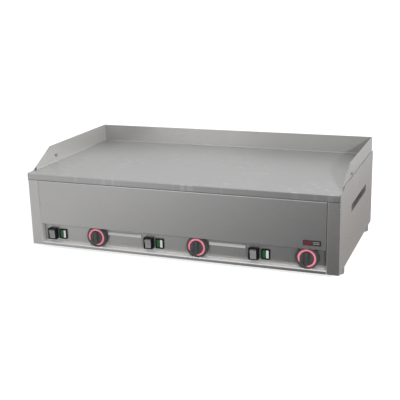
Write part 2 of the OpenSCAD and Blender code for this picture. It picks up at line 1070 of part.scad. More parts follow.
module pilot_housing(i) {
    x = lamp_x(i);
    color(black)
        difference() {
            union() {
                along_y(panel_y - lamp_d, lamp_d)
                    translate([x, key_z])
                        round_rect(lamp_w, lamp_h, 1.5);
                block(
                    [x - lamp_w / 2 + 1.5, panel_y - 1, key_z - lamp_h / 2 + 1.5],
                    [x + lamp_w / 2 - 1.5, panel_y + 20, key_z + lamp_h / 2 - 1.5]
                );
                for (s = [-1, 1], t = [-1, 1])
                    block(
                        [x + s * 5 - 0.4, panel_y + 19, key_z + t * 7 - 2.5],
                        [x + s * 5 + 0.4, panel_y + 28, key_z + t * 7 + 2.5]
                    );
            }
            for (span = [green_span(x), clear_span(x)])
                block(
                    [span[0], panel_y - lamp_d - 1, key_z - lens_h / 2],
                    [span[1], panel_y + lens_back, key_z + lens_h / 2]
                );
        }
}

module pilot_housing_1() {
    pilot_housing(0);
}

module pilot_housing_2() {
    pilot_housing(1);
}

module pilot_housing_3() {
    pilot_housing(2);
}

// One lens that fills the pocket between two sides
module lens(span) {
    along_y(panel_y - lens_d, lens_d + lens_back)
        translate([(span[0] + span[1]) / 2, key_z])
            round_rect(span[1] - span[0] - 0.1, lens_h - 0.1, 0.8);
}

module pilot_green_lenses() {
    color([0.10, 0.45, 0.20])
        for (i = [0 : 2])
            lens(green_span(lamp_x(i)));
}

module pilot_clear_lenses() {
    color([0.85, 0.86, 0.84])
        for (i = [0 : 2])
            lens(clear_span(lamp_x(i)));
}

// ---- Drip drawers ----

module drip_drawer(j) {
    x = tray_x(j);
    half = drawer_w / 2;
    y0 = drawer_front_y - drawer_front_t;
    z_lip = shell_z + drawer_top;
    color(steel) {
        difference() {
            block([x - half, y0, shell_z + drawer_low], [x + half, drawer_front_y, z_lip]);
            block(
                [x - half + 4, y0 - 1, shell_z + lip_window_low],
                [x + half - 4, drawer_front_y + 1, shell_z + lip_window_top]
            );
        }
        along_x(x - half, drawer_w)
            polygon([
                [drawer_front_y, z_lip - 0.4], [drawer_front_y, z_lip + 1.2], [y0, z_lip + 1.2],
                [y0 - lip_reach, z_lip + 1.2 - lip_drop],
                [y0 - lip_reach + lip_t, z_lip + 0.6 - lip_drop], [y0 + 0.2, z_lip - 0.4]
            ]);
        difference() {
            block(
                [x - tray_half_w, drawer_front_y, shell_z + tray_low],
                [x + tray_half_w, drawer_front_y + drawer_d, shell_z + tray_top]
            );
            block(
                [
                    x - tray_half_w + drawer_wall,
                    drawer_front_y + drawer_wall,
                    shell_z + tray_low + drawer_wall
                ],
                [
                    x + tray_half_w - drawer_wall,
                    drawer_front_y + drawer_d - drawer_wall,
                    shell_z + tray_top + 1
                ]
            );
        }
    }
}

module drip_drawer_1() {
    drip_drawer(0);
}

module drip_drawer_2() {
    drip_drawer(1);
}

// Bench that a drawer slides on, with an upright guide at each side
module drawer_guide(j) {
    x = tray_x(j);
    top = shell_z + tray_low - 0.15;
    low = base_z + sheet_t / 2 + 0.05;
    y0 = base_front + 4;
    length = drawer_d + 6;
    fence = tray_half_w + guide_gap;
    color(zinc) {
        along_y(y0, length)
            bent_strip([
                [x - 44, low + 0.5], [x - 34, low + 0.5], [x - 34, top - 0.5],
                [x + 34, top - 0.5], [x + 34, low + 0.5], [x + 44, low + 0.5]
            ], 1, 1.6);
        for (s = [-1, 1])
            along_y(y0, length)
                bent_strip([
                    [x + s * (fence + 12), low + 0.5], [x + s * (fence + 0.5), low + 0.5],
                    [x + s * (fence + 0.5), shell_z + tray_top - 4]
                ], 1, 1.6);
    }
}

module drawer_guide_1() {
    drawer_guide(0);
}

module drawer_guide_2() {
    drawer_guide(1);
}

// ---- Supply ----

module terminal_block() {
    low = base_z + sheet_t / 2 + 0.05;
    color([0.85, 0.83, 0.76])
        difference() {
            block([250, rear_face - 60, low], [350, rear_face - 30, low + 34]);
            for (k = [0 : 4])
                translate([260 + k * 20, rear_face - 45, low + 22])
                    cylinder(r = 5, h = 20);
        }
}

module cable_gland() {
    color(black)
        difference() {
            union() {
                rod_y(gland_x, rear_face - 9, gland_z, gland_r, 12);
                translate([gland_x, rear_face + rear_t / 2, gland_z])
                    rotate([-90, 0, 0])
                        cylinder(r = hex_r, h = 6, $fn = 6);
                rod_y(gland_x, rear_face + rear_t / 2 + 6, gland_z, hex_r - 2.5, gland_dome - 6);
            }
            rod_y(gland_x, rear_face - 12, gland_z, gland_bore, 40);
        }
}

module gland_locknut() {
    color(black)
        translate([gland_x, rear_face - rear_t / 2 - 5, gland_z])
            rotate([-90, 0, 0])
                nut(hex_r, gland_r + running_gap, 5);
}

module bonding_stud() {
    color([0.72, 0.55, 0.28]) {
        rod_y(bond_x, rear_face - 8, bond_z, bond_root_r, 12);
        rod_y(bond_x, rear_face + rear_t / 2 + bond_nut_h - 0.5, bond_z, bond_r, 12.9);
        translate([bond_x, rear_face + rear_t / 2, bond_z])
            rotate([-90, 0, 0])
                cylinder(r = 5.8, h = bond_nut_h, $fn = 6);
        translate([bond_x, rear_face - rear_t / 2 - bond_nut_h, bond_z])
            rotate([-90, 0, 0])
                cylinder(r = 5.8, h = bond_nut_h, $fn = 6);
    }
}

// Main loom behind the controls, with a lead back to the terminal block
module wiring_harness() {
    loom_r = 4;
    loom_y = front_y + 102;
    loom_z = shell_z + 110;
    back_y = rear_face - 45;
    end_x = 300;
    color([0.75, 0.22, 0.15]) {
        rod_x(-zone_pitch - 105, loom_y, loom_z, loom_r, 2 * zone_pitch + 210);
        rod_y(end_x, loom_y, loom_z, loom_r, back_y - loom_y);
        translate([end_x, back_y, base_z + 60])
            cylinder(r = loom_r, h = loom_z - base_z - 60);
        translate([end_x, back_y, loom_z])
            sphere(loom_r);
    }
}

griddle_plate();
splash_guard();
side_panel_left();
side_panel_right();
grip_pocket_left();
grip_pocket_right();
front_fascia();
control_panel();
rear_panel();
base_pan();
plate_rails();
heating_element_1();
heating_element_2();
heating_element_3();
element_clamps();
clamp_studs();
clamp_nuts();
insulation_boards();
heat_shield();
thermostat_1();
thermostat_2();
thermostat_3();
thermostat_shaft_1();
thermostat_shaft_2();
thermostat_shaft_3();
safety_limiter_1();
safety_limiter_2();
safety_limiter_3();
knob_1();
knob_2();
knob_3();
knob_ring_1();
knob_ring_2();
knob_ring_3();
switch_housing_1();
switch_housing_2();
switch_housing_3();
switch_rocker_1();
switch_rocker_2();
switch_rocker_3();
pilot_housing_1();
pilot_housing_2();
pilot_housing_3();
pilot_green_lenses();
pilot_clear_lenses();
drip_drawer_1();
drip_drawer_2();
drawer_guide_1();
drawer_guide_2();
terminal_block();
cable_gland();
gland_locknut();
bonding_stud();
wiring_harness();
badge();
rubber_feet();
foot_bolts();
splash_bolts();
body_screws();
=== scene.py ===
"""Looks of the flat top griddle. Lengths are in metres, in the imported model's frame."""
import json
import math

import bmesh
import bpy
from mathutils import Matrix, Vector


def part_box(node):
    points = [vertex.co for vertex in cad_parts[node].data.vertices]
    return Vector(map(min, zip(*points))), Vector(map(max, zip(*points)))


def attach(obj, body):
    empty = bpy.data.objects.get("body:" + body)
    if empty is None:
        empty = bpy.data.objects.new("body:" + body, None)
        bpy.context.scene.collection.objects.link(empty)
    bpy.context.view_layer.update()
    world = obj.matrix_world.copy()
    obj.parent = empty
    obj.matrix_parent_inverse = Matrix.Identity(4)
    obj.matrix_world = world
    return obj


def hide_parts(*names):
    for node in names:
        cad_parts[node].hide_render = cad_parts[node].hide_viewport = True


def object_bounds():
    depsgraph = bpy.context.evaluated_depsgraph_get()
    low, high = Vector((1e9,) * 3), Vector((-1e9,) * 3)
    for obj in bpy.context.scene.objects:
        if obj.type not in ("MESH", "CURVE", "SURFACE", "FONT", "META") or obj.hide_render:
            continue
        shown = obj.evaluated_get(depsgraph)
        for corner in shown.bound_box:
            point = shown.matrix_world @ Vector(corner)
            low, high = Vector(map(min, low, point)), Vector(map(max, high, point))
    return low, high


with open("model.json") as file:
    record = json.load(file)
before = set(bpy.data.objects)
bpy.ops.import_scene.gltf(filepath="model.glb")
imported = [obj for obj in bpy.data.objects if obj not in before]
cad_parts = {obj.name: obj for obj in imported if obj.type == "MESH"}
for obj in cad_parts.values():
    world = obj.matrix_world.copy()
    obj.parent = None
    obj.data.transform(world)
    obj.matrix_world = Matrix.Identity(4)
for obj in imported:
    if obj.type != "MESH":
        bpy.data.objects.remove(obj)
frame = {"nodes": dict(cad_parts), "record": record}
cad_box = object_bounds()
NODES = frame["nodes"]
BODY_OF = {node: body for body, group in frame["record"]["behaviour"]["bodies"].items() for node in group}
MM = 0.001

# ---------------------------------------------------------------- camera, floor and light

CAMERA_PLACE = (0.8959, -2.3616, 0.8532)
CAMERA_TURN = (1.29343, 0.02588, 0.36247)
LENS_MM = 72.29
SENSOR_MM = 36.0
VIEW_DISTANCE = 60

scene = bpy.context.scene
camera = bpy.data.objects.new("camera", bpy.data.cameras.new("camera"))
camera.data.lens = LENS_MM
camera.data.sensor_width = SENSOR_MM
camera.data.clip_end = VIEW_DISTANCE
camera.location = CAMERA_PLACE
camera.rotation_euler = CAMERA_TURN
scene.collection.objects.link(camera)
scene.camera = camera
scene.view_settings.view_transform = "Standard"


def area_light(name, place, target, size, power):
    data = bpy.data.lights.new(name, "AREA")
    data.shape = "RECTANGLE"
    data.size, data.size_y = size
    data.energy = power
    lamp = bpy.data.objects.new(name, data)
    lamp.location = place
    aim = Vector(target) - Vector(place)
    lamp.rotation_euler = aim.to_track_quat("-Z", "Y").to_euler()
    scene.collection.objects.link(lamp)
    return lamp


# The right light is small, so the splash wall's shadow has a firm edge; the left one only softens it
KEY_PLACE = (2.44, -3.31, 1.60)
KEY_TARGET = (0.45, -0.1, 0.28)
KEY_SIZE = (0.22, 0.22)
KEY_WATTS = 180
FILL_PLACE = (-1.75, -4.0, 1.5)
FILL_TARGET = (0.0, 0.1, 0.28)
FILL_SIZE = (1.0, 0.8)
FILL_WATTS = 6
right_light = area_light("right_light", KEY_PLACE, KEY_TARGET, KEY_SIZE, KEY_WATTS)
right_light.visible_glossy = False
area_light("left_light", FILL_PLACE, FILL_TARGET, FILL_SIZE, FILL_WATTS)

WORLD_LIGHT = 0.86
world = bpy.data.worlds.new("studio")
world.use_nodes = True
backdrop = world.node_tree.nodes["Background"]
backdrop.inputs["Color"].default_value = (1.0, 1.0, 1.0, 1)
backdrop.inputs["Strength"].default_value = WORLD_LIGHT
scene.world = world


def reflector(name, corners, stops):
    """A studio card that only mirror-like surfaces see; stops are (share of its width, RGB brightness)."""
    mesh = bpy.data.meshes.new(name)
    mesh.from_pydata(corners, [], [(0, 1, 2, 3)])
    layer = mesh.uv_layers.new(name="across")
    for loop, uv in zip(layer.data, ((0, 0), (1, 0), (1, 1), (0, 1))):
        loop.uv = uv
    mat = bpy.data.materials.new(name)
    mat.use_nodes = True
    nodes, links = mat.node_tree.nodes, mat.node_tree.links
    nodes.clear()
    ramp = nodes.new("ShaderNodeValToRGB")
    bands = ramp.color_ramp.elements
    while len(bands) < len(stops):
        bands.new(0.5)
    peak = max(max(color) for _, color in stops)
    for band, (share, color) in zip(bands, stops):
        band.position = share
        band.color = (*(c / peak for c in color), 1)
    split = nodes.new("ShaderNodeSeparateXYZ")
    glow = nodes.new("ShaderNodeEmission")
    glow.inputs["Strength"].default_value = peak
    out = nodes.new("ShaderNodeOutputMaterial")
    links.new(nodes.new("ShaderNodeTexCoord").outputs["UV"], split.inputs["Vector"])
    links.new(split.outputs["X"], ramp.inputs["Fac"])
    links.new(ramp.outputs["Color"], glow.inputs["Color"])
    links.new(glow.outputs["Emission"], out.inputs["Surface"])
    mesh.materials.append(mat)
    card = bpy.data.objects.new(name, mesh)
    scene.collection.objects.link(card)
    for ray in ("camera", "diffuse", "transmission", "volume_scatter", "shadow"):
        setattr(card, "visible_" + ray, False)


def grey(v, warm=0.0):
    """A grey of brightness v, its red raised and its blue lowered by the share warm."""
    return (v * (1 + warm), v, v * (1 - warm))


def lying(low_x, high_x, low_y, high_y):
    """Corners of a card that lies just above the floor."""
    outline = ((low_x, low_y), (high_x, low_y), (high_x, high_y), (low_x, high_y))
    return [(x, y, CARD_Z) for x, y in outline]


def standing(low_x, high_x, y, top):
    """Corners of an upright card that faces along Y."""
    return ((low_x, y, CARD_FOOT), (high_x, y, CARD_FOOT), (high_x, y, top), (low_x, y, top))


CARD_Z = 0.003
CARD_FOOT = 0.02
CASE_FRONT = cad_box[0][1] - 0.0004
CASE_SIDE = cad_box[1][0] + 0.002

reflector("front_floor_card", lying(-3, 2, -4, CASE_FRONT), (
    (0.0, grey(0.72)), (0.47, grey(0.70)), (0.68, grey(0.03)), (1.0, grey(0.02)),
))
reflector("side_floor_card", lying(CASE_SIDE, 4, -0.27, 4), (
    (0.0, grey(0.36, 0.05)), (0.04, grey(0.38, 0.05)), (0.075, grey(0.62)), (1.0, grey(0.60)),
))
reflector("back_right_card", standing(1.3, 6, 4.2, 4), (
    (0.0, grey(1.9)), (1.0, grey(1.9)),
))
reflector("front_wall_card", standing(-4, 2, -5, 5), (
    (0.0, grey(0.72)), (0.20, grey(0.72)), (0.25, grey(1.15)),
    (0.33, grey(1.15)), (0.62, grey(0.50)), (1.0, grey(0.45)),
))

# ---------------------------------------------------------------- material building blocks


class Shader:
    """A Principled material with a few short calls for procedural detail in object space."""

    def __init__(self, name, color, metallic=0.0, rough=0.5, **sockets):
        self.mat = bpy.data.materials.new(name)
        self.mat.use_nodes = True
        self.tree = self.mat.node_tree
        self.bsdf = self.tree.nodes["Principled BSDF"]
        self.bsdf.inputs["Base Color"].default_value = (*color, 1)
        self.bsdf.inputs["Metallic"].default_value = metallic
        self.bsdf.inputs["Roughness"].default_value = rough
        for key, value in sockets.items():
            self.bsdf.inputs[key.replace("_", " ")].default_value = value
        self.mat.diffuse_color = (*color, 1)
        self.place = self.node("ShaderNodeTexCoord").outputs["Object"]

    def node(self, kind, **props):
        made = self.tree.nodes.new(kind)
        for key, value in props.items():
            setattr(made, key, value)
        return made

    def wire(self, source, target):
        self.tree.links.new(source, target)

    def stretch_gloss(self, amount):
        """Spreads reflections up and down, across a level grain."""
        tangent = self.node("ShaderNodeTangent", direction_type="RADIAL", axis="Z")
        self.bsdf.inputs["Anisotropic"].default_value = amount
        self.bsdf.inputs["Anisotropic Rotation"].default_value = 0.25
        self.wire(tangent.outputs["Tangent"], self.bsdf.inputs["Tangent"])

    def noise(self, stretch, scale=1.0, detail=3.0, rough=0.5):
        """Noise from 0 to 1; stretch gives how many times it repeats in a metre along X, Y and Z."""
        mapping = self.node("ShaderNodeMapping")
        mapping.inputs["Scale"].default_value = stretch
        self.wire(self.place, mapping.inputs["Vector"])
        made = self.node("ShaderNodeTexNoise")
        made.inputs["Scale"].default_value = scale
        made.inputs["Detail"].default_value = detail
        made.inputs["Roughness"].default_value = rough
        self.wire(mapping.outputs["Vector"], made.inputs["Vector"])
        return made.outputs["Fac"]

    def spread(self, value, low, high, to_low=0.0, to_high=1.0):
        made = self.node("ShaderNodeMapRange")
        for key, number in (("From Min", low), ("From Max", high), ("To Min", to_low), ("To Max", to_high)):
            made.inputs[key].default_value = number
        self.wire(value, made.inputs["Value"])
        return made.outputs["Result"]

    def math(self, how, a, b):
        made = self.node("ShaderNodeMath", operation=how)
        for socket, value in zip(made.inputs, (a, b)):
            if isinstance(value, (int, float)):
                socket.default_value = value
            else:
                self.wire(value, socket)
        return made.outputs["Value"]

    def blend(self, share, a, b):
        """Mixes two colours; each is an RGB triple or a colour output."""
        made = self.node("ShaderNodeMix", data_type="RGBA")
        self.wire(share, made.inputs["Factor"])
        for socket, value in ((made.inputs[6], a), (made.inputs[7], b)):
            if isinstance(value, tuple):
                socket.default_value = (*value, 1)
            else:
                self.wire(value, socket)
        return made.outputs[2]

    def color(self, output):
        self.wire(output, self.bsdf.inputs["Base Color"])

    def rough(self, output):
        self.wire(output, self.bsdf.inputs["Roughness"])

    def bump(self, height, strength, distance):
        made = self.node("ShaderNodeBump")
        made.inputs["Strength"].default_value = strength
        made.inputs["Distance"].default_value = distance
        self.wire(height, made.inputs["Height"])
        self.wire(made.outputs["Normal"], self.bsdf.inputs["Normal"])

    def edges(self, low=0.5, high=0.56):
        """Share of a place that lies on a worn outer edge."""
        return self.spread(self.node("ShaderNodeNewGeometry").outputs["Pointiness"], low, high)


def tint(color, k):
    """The colour, k times as bright."""
    return tuple(min(1.0, c * k) for c in color)


# Repeats in a metre along X, Y and Z of the patterns that every brushed sheet shares
CLOUDS = (5, 5, 5)
SMEARS = (17, 23, 31)
SCUFF_DASHES = (42, 130, 1)
SCUFF_FIELDS = (4, 4, 4)


def brushed(name, color, rough, grain, streak=0.02, metallic=1.0, cloud=0.03, stretch=0.0, flat_metallic=None,
            scuffs=0.0):
    """Sheet steel with a straight grain; grain says how fine it is along X, Y and Z.

    flat_metallic is how metallic the faces that look straight up are, where they are duller than the rest.
    scuffs is how much brighter the short wear marks are than the sheet.
    """
    s = Shader(name, color, metallic, rough)
    fine = s.noise(grain, 1.0, 4.0, 0.6)
    broad = s.noise(CLOUDS, 1.0, 3.0)
    smear = s.noise(SMEARS, 1.0, 5.0, 0.62)
    lines = s.spread(fine, 0.3, 0.7)
    clean = s.blend(lines, tint(color, 1 - streak), tint(color, 1 + streak))
    dull = s.blend(lines, tint(color, 1 - streak - cloud), tint(color, 1 + streak - cloud))
    base = s.blend(s.spread(broad, 0.35, 0.65), clean, dull)
    if scuffs:
        dashes = s.spread(s.noise(SCUFF_DASHES, 1.0, 1.0), 0.58, 0.68, 0.0, 1.0)
        fields = s.spread(s.noise(SCUFF_FIELDS, 1.0, 1.0), 0.45, 0.6, 0.10, 1.0)
        base = s.blend(s.math("MULTIPLY", dashes, fields), base, tint(color, 1 + scuffs))
    s.color(base)
    s.rough(s.spread(s.math("ADD", fine, smear), 0.7, 1.3, rough * 0.97, rough * 1.05))
    if stretch:
        s.stretch_gloss(stretch)
    if flat_metallic is not None:
        up = s.node("ShaderNodeSeparateXYZ")
        s.wire(s.node("ShaderNodeNewGeometry").outputs["Normal"], up.inputs["Vector"])
        s.wire(s.spread(up.outputs["Z"], 0.5, 0.95, metallic, flat_metallic), s.bsdf.inputs["Metallic"])
    return s.mat


def plain_metal(name, color, rough, speck=400.0):
    """Unbrushed metal with specks and faint patches."""
    s = Shader(name, color, 1.0, rough)
    grain = s.noise((speck, speck, speck), 1.0, 3.0)
    patch = s.noise((40, 40, 40), 1.0, 3.0)
    s.color(s.blend(s.spread(patch, 0.35, 0.65), tint(color, 0.88), tint(color, 1.08)))
    fine_rough = s.spread(grain, 0.3, 0.7, rough - 0.06, rough + 0.06)
    s.rough(s.math("ADD", fine_rough, s.spread(patch, 0.4, 0.7, 0, 0.08)))
    s.bump(grain, 0.12, 0.0001)
    return s.mat


def moulded(name, color, rough, edge=1.9, texture=1500.0, bump=0.1, **sockets):
    """Moulded plastic or rubber with a fine spark texture and paler worn edges."""
    s = Shader(name, color, 0.0, rough, **sockets)
    grain = s.noise((texture, texture, texture), 1.0, 2.0)
    patch = s.noise((60, 60, 60), 1.0, 4.0)
    base = s.blend(s.spread(patch, 0.35, 0.7), tint(color, 0.85), tint(color, 1.15))
    s.color(s.blend(s.edges(0.5, 0.6), base, tint(color, edge)))
    s.rough(s.spread(patch, 0.3, 0.7, rough - 0.05, rough + 0.07))
    s.bump(grain, bump, 0.00008)
    return s.mat


# Directions of the steel's grain: level on upright sheet, along X on the cooking plate
LEVEL = (3, 3, 1400)
ALONG_X = (4, 1300, 60)

looks = {
    "plate": brushed(
        "plate_steel", (0.400, 0.401, 0.399), 0.34, ALONG_X, 0.015, 0.90, 0.02,
        flat_metallic=0.60, scuffs=0.24,
    ),
    "splash": brushed("splash_steel", (0.43, 0.427, 0.416), 0.24, LEVEL, 0.015, 0.76, stretch=0.8),
    "casing": brushed("casing_steel", (0.470, 0.464, 0.461), 0.28, LEVEL, 0.008, 0.90, 0.02),
    "side": brushed("side_steel", (0.51, 0.50, 0.495), 0.28, LEVEL, 0.008, 0.90, 0.02),
    "zinc": plain_metal("zinc_plate", (0.55, 0.56, 0.57), 0.34),
    "element": plain_metal("heater_sheath", (0.20, 0.18, 0.17), 0.55),
    "brass": plain_metal("brass", (0.70, 0.52, 0.25), 0.3),
    "insulation": moulded("fibre_board", (0.80, 0.77, 0.70), 0.9, 1.0, 500.0, 0.6),
    "ceramic": moulded("pale_moulding", (0.72, 0.70, 0.63), 0.55, 1.05, 700.0, 0.15),
    "knob": moulded("knob_plastic", (0.030, 0.031, 0.030), 0.45, 1.8, 700.0, 0.3),
    "ring": moulded("ring_inlay", (0.47, 0.12, 0.17), 0.32, 1.3, 1500.0, 0.05),
    "black_plastic": moulded("black_plastic", (0.002, 0.002, 0.002), 0.5, 1.5, Specular_IOR_Level=0.2),
    "rocker": moulded("rocker_plastic", (0.125, 0.125, 0.127), 0.5, 1.2, 420.0, 0.5),
    "green_lens": moulded("green_lens", (0.003, 0.043, 0.011), 0.35, 1.2, 300.0, 0.03),
    "clear_lens": moulded("clear_lens", (0.31, 0.335, 0.31), 0.25, 1.1, 300.0, 0.03, Coat_Weight=0.6),
    "harness": moulded("silicone_sleeve", (0.45, 0.09, 0.05), 0.5, 1.2, 900.0),
    "badge": moulded("badge_face", (0.012, 0.011, 0.011), 0.25, 1.6),
    "rubber": moulded("foot_rubber", (0.11, 0.11, 0.11), 0.62, 1.8, 900.0, 0.25),
}
# Painted light: a paler, duller copy of the splash steel for the left wall's inside face. It stands in for
# the light from the right falling on that wall.
painted_light_splash_inner = brushed("painted_light_splash_inner", (0.545, 0.54, 0.52), 0.32, LEVEL, 0.012, 0.55)
# Painted light: a much paler, duller copy of the steel for the control panel's upward faces, the lips in the
# recess. It stands in for the light falling on them from the front and above.
painted_light_shelf = brushed("painted_light_shelf", (0.72, 0.71, 0.70), 0.35, LEVEL, 0.01, 0.35)
recess_steel = brushed("recess_steel", (0.50, 0.495, 0.49), 0.42, LEVEL, 0.01, 0.5)
SLOT_OF = {entry["node"]: entry["material_slot"] for entry in frame["record"]["subparts"]}

for node, obj in NODES.items():
    obj.data.materials.clear()
    obj.data.materials.append(looks[SLOT_OF[node]])

# ---------------------------------------------------------------- pieces


def new_piece(name, bm, node, look=None, smooth=True):
    """Makes a piece from a bmesh; it stands for the CAD node, rides with it and takes its finish."""
    mesh = bpy.data.meshes.new(name)
    bm.to_mesh(mesh)
    bm.free()
    if smooth:
        mesh.shade_smooth()
    piece = bpy.data.objects.new(name, mesh)
    mesh.materials.append(look or looks[SLOT_OF[node]])
    scene.collection.objects.link(piece)
    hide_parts(node)
    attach(piece, BODY_OF[node])
    return piece


def round_edges(piece, width, segments=2, angle=32):
    """Rounds the edges that turn by more than angle degrees; width is in metres."""
    bevel = piece.modifiers.new("edge_round", "BEVEL")
    bevel.width = width
    bevel.segments = segments
    bevel.limit_method = "ANGLE"
    bevel.angle_limit = math.radians(angle)
    bevel.harden_normals = True
    bevel.miter_outer = "MITER_ARC"
    even = piece.modifiers.new("even_normals", "WEIGHTED_NORMAL")
    even.keep_sharp = True


NEAR = 1e-5
BEND_RADIUS = 0.0022


def bend_corner(bm):
    """Rounds the upright front corner of a side panel, as the brake press leaves it."""
    face_x = max(abs(v.co.x) for v in bm.verts)
    face_y = min(v.co.y for v in bm.verts)

    def at_corner(place):
        return abs(abs(place.x) - face_x) < NEAR and abs(place.y - face_y) < NEAR

    corner = [edge for edge in bm.edges if all(at_corner(v.co) for v in edge.verts)]
    bmesh.ops.bevel(bm, geom=corner, offset=BEND_RADIUS, segments=4, affect="EDGES", profile=0.5)


FACING = 0.7
COLUMN_INSIDE_X = 0.475
RECESS_REAR_Y = -0.2
WELD_DISTANCE = 1e-6
FLAT_ANGLE = math.radians(0.5)
PIERCED = ("pilot_housing", "control_panel", "drip_drawer", "switch_housing")


def beside_recess(normal, middle):
    return abs(normal.x) > FACING and abs(middle.x) < COLUMN_INSIDE_X and middle.y < RECESS_REAR_Y


def left_wall_inside(normal, middle):
    return normal.x > FACING and middle.x < 0


def looks_up(normal, middle):
    return normal.z > FACING


# Second looks for some faces of a node. The side panels' recess returns get a duller steel, and the splash
# guard's left inside wall and the control panel's upward faces get paler copies that are painted light.
SECOND_FINISH_AND_PAINTED_LIGHT = {
    "side_panel_left": (recess_steel, beside_recess),
    "side_panel_right": (recess_steel, beside_recess),
    "splash_guard": (painted_light_splash_inner, left_wall_inside),
    "control_panel": (painted_light_shelf, looks_up),
}


def refined(node, width, segments=2, look=None):
    """A copy of a CAD node's shape with its sharp edges broken, as pressed sheet and mouldings have them.

    Flat faces are merged first, except on sheets and mouldings with openings, whose merged faces would
    be split badly.
    """
    bm = bmesh.new()
    bm.from_mesh(NODES[node].data)
    bmesh.ops.remove_doubles(bm, verts=bm.verts, dist=WELD_DISTANCE)
    if not node.startswith(PIERCED):
        bmesh.ops.dissolve_limit(bm, angle_limit=FLAT_ANGLE, verts=bm.verts, edges=bm.edges)
    if node.startswith("side_panel"):
        bend_corner(bm)
    piece = new_piece(node + "_finished", bm, node, look)
    # Lays the second look on the chosen faces; on the splash guard and the control panel it is painted light.
    if node in SECOND_FINISH_AND_PAINTED_LIGHT:
        finish, belongs = SECOND_FINISH_AND_PAINTED_LIGHT[node]
        piece.data.materials.append(finish)
        for face in piece.data.polygons:
            if belongs(face.normal, face.center):
                face.material_index = 1
    round_edges(piece, width, segments)


# Widths of the broken edges, in metres; the wider ones get a rounder section
WIDE_EDGE = 0.0004
POCKET_EDGE = 0.0003
for node, width in (
    ("griddle_plate", 0.0005), ("splash_guard", 0.0005), ("side_panel_left", 0.00035),
    ("side_panel_right", 0.00035), ("front_fascia", 0.00015), ("control_panel", 0.0003),
    ("rear_panel", 0.0003), ("drip_drawer_1", 0.0003), ("drip_drawer_2", 0.0003),
    ("switch_housing_1", 0.0006), ("switch_housing_2", 0.0006), ("switch_housing_3", 0.0006),
    ("switch_rocker_1", 0.0005), ("switch_rocker_2", 0.0005), ("switch_rocker_3", 0.0005),
    ("pilot_housing_1", 0.0005), ("pilot_housing_2", 0.0005), ("pilot_housing_3", 0.0005),
    ("pilot_green_lenses", 0.0008), ("pilot_clear_lenses", 0.0008),
    ("cable_gland", 0.0006), ("gland_locknut", 0.0004), ("bonding_stud", 0.0003),
    ("splash_bolts", 0.0005), ("body_screws", 0.0005), ("terminal_block", 0.0006),
    ("foot_bolts", 0.0005),
):
    refined(node, width, 3 if width > WIDE_EDGE else 2)

for node in ("grip_pocket_left", "grip_pocket_right"):
    refined(node, POCKET_EDGE, look=looks["side"])


def front_point(centre, back_y, u, v, w):
    """A point of a control: u to the right, v up and w towards the user, in millimetres."""
    return (centre[0] + u * MM, back_y - w * MM, centre[1] + v * MM)


def lathe(bm, put, profile, steps=96):
    """Turns a profile of (radius, height) about the axis; put places (u, v, w)."""
    rings = []
    turn = [2 * math.pi * k / steps for k in range(steps)]
    for r, w in profile:
        if r == 0:
            rings.append([bm.verts.new(put(0, 0, w))])
        else:
            rings.append([bm.verts.new(put(r * math.cos(a), r * math.sin(a), w)) for a in turn])
    for low, high in zip(rings, rings[1:]):
        for k in range(steps):
            n = (k + 1) % steps
            if len(low) == 1:
                bm.faces.new((low[0], high[k], high[n]))
            elif len(high) == 1:
                bm.faces.new((low[k], high[0], low[n]))
            else:
                bm.faces.new((low[k], high[k], high[n], low[n]))


def loft(bm, put, levels, cap=True):
    """Joins closed outlines; each level is (height, list of (u, v))."""
    rings = [[bm.verts.new(put(u, v, w)) for u, v in outline] for w, outline in levels]
    count = len(rings[0])
    for low, high in zip(rings, rings[1:]):
        for k in range(count):
            n = (k + 1) % count
            bm.faces.new((low[k], high[k], high[n], low[n]))
    if cap:
        bm.faces.new(rings[0])
        bm.faces.new(list(reversed(rings[-1])))


def grip_outline(half_width, half_length, waist, steps=14):
    """Outline of the knob's grip bar: round ends and sides drawn in by waist at the middle."""
    points = []
    straight = half_length - half_width
    for k in range(steps + 1):
        a = math.pi * k / steps
        points.append((half_width * math.cos(a), straight + half_width * math.sin(a)))
    side = 9
    for k in range(1, side):
        t = k / side
        points.append((-half_width + waist * math.sin(math.pi * t), straight - 2 * straight * t))
    for k in range(steps + 1):
        a = math.pi + math.pi * k / steps
        points.append((half_width * math.cos(a), -straight + half_width * math.sin(a)))
    for k in range(1, side):
        t = k / side
        points.append((half_width - waist * math.sin(math.pi * t), -straight + 2 * straight * t))
    return points


# Knobs, in millimetres. Heights are from the back of the knob, angles are anticlockwise from the right
KNOB_R = 33.5
KNOB_FACE_R = 31.8
KNOB_FACE = 14.0
KNOB_WALL = 2.5
KNOB_SKIRT_TOP = 9.2
KNOB_BEVEL_LOW, KNOB_BEVEL_TOP = 11.9, 13.3
KNOB_EDGE = 0.0002
KNOB_EDGE_ANGLE = 40
HOLLOW_TOP = 11.0
SHAFT_R = 3.0
SHAFT_TOP = 9.0
BOSS_R = 8.0
DISH = 12.8
RING_IN, RING_OUT = 21.0, 26.6
RING_FLOOR = 13.2
RING_FIRST, RING_LAST = -90.0, 208.0
RING_STEPS = 120
RING_TAPER = 0.10
RING_TIP = 0.30
RING_SECTION = (
    (-1, 0), (-1, 0.85), (-0.9, 1.02), (-0.6, 1.08), (0, 1.1), (0.6, 1.08), (0.9, 1.02), (1, 0.85), (1, 0),
)
GRIP_HALF_W = 6.5
GRIP_HALF_LEN = 20.0
# Height, how far the outline is drawn in, and the depth of its waist
GRIP_LEVELS = (
    (12.7, 0.0, 0.0), (13.8, 0.05, 0.3), (16.5, 0.3, 0.8), (19.8, 0.6, 1.0),
    (20.9, 0.8, 1.0), (21.6, 1.2, 0.9), (21.95, 1.8, 0.8), (22.0, 2.4, 0.6),
)


def node_middle(node):
    """Middle of a CAD node's box."""
    low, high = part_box(node)
    return (Vector(low) + Vector(high)) / 2


